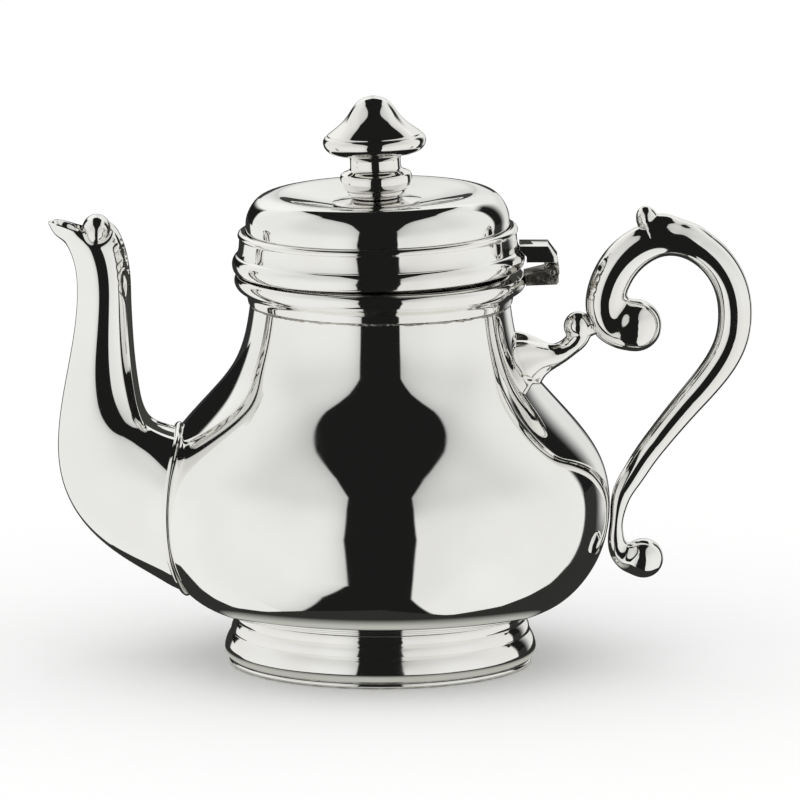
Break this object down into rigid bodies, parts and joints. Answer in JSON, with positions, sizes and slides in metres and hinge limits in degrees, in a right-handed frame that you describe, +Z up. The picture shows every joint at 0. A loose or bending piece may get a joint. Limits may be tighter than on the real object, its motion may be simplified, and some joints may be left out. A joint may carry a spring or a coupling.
{
  "type": "hinged silver teapot",
  "caption": "Pear-shaped silver teapot on a moulded foot, with a swan-neck spout, a cast scroll handle and a hinged domed lid with a turned finial.",
  "frame": {"origin": "on the table plane, under the middle of the pot's overall length from spout lip to handle, on the mirror plane; the body's own axis stands 5.9 mm towards the spout from it", "axes": "+Z up, +X from the spout towards the handle, +Y across the pot away from the viewer; the pot is mirror-symmetric about Y = 0"},
  "size_m": [0.2108, 0.1374, 0.1718],
  "materials": {
    "silver_body": "mirror-polished spun silver with fine wiping marks",
    "silver_trim": "polished silver trim with darker patina in the grooves",
    "silver_cast": "polished cast silver with slight surface ripple",
    "silver_inside": "satin silver inside the pot",
    "nickel_hinge": "darker unpolished nickel silver"
  },
  "bodies": {
    "pot": {"body_base": "silver_body", "body_belly": "silver_body", "body_shoulder": "silver_body", "foot_ring": "silver_body", "foot_wire": "silver_trim", "neck_collar": "silver_trim", "spout_half_near": "silver_body", "spout_half_far": "silver_body", "spout_hood": "silver_trim", "spout_joint_bead": "silver_trim", "handle_scroll": "silver_cast", "handle_thumb_leaf": "silver_cast", "handle_upper_socket": "silver_cast", "hinge_body_leaf": "nickel_hinge", "hinge_pin": "nickel_hinge"},
    "lid": {"lid_dome": "silver_body", "lid_band": "silver_trim", "lid_bezel": "silver_inside", "hinge_lid_leaf": "silver_trim", "finial_base_plate": "silver_trim", "finial_knob": "silver_cast", "finial_stud": "nickel_hinge", "finial_washer": "nickel_hinge", "finial_nut": "nickel_hinge"}
  },
  "joints": [
    {"name": "lid_hinge", "type": "hinge", "parent": "pot", "child": "lid", "pos_m": [0.0456, 0, 0.1193], "axis": [0, 1, 0], "range_deg": [0, 92]}
  ]
}
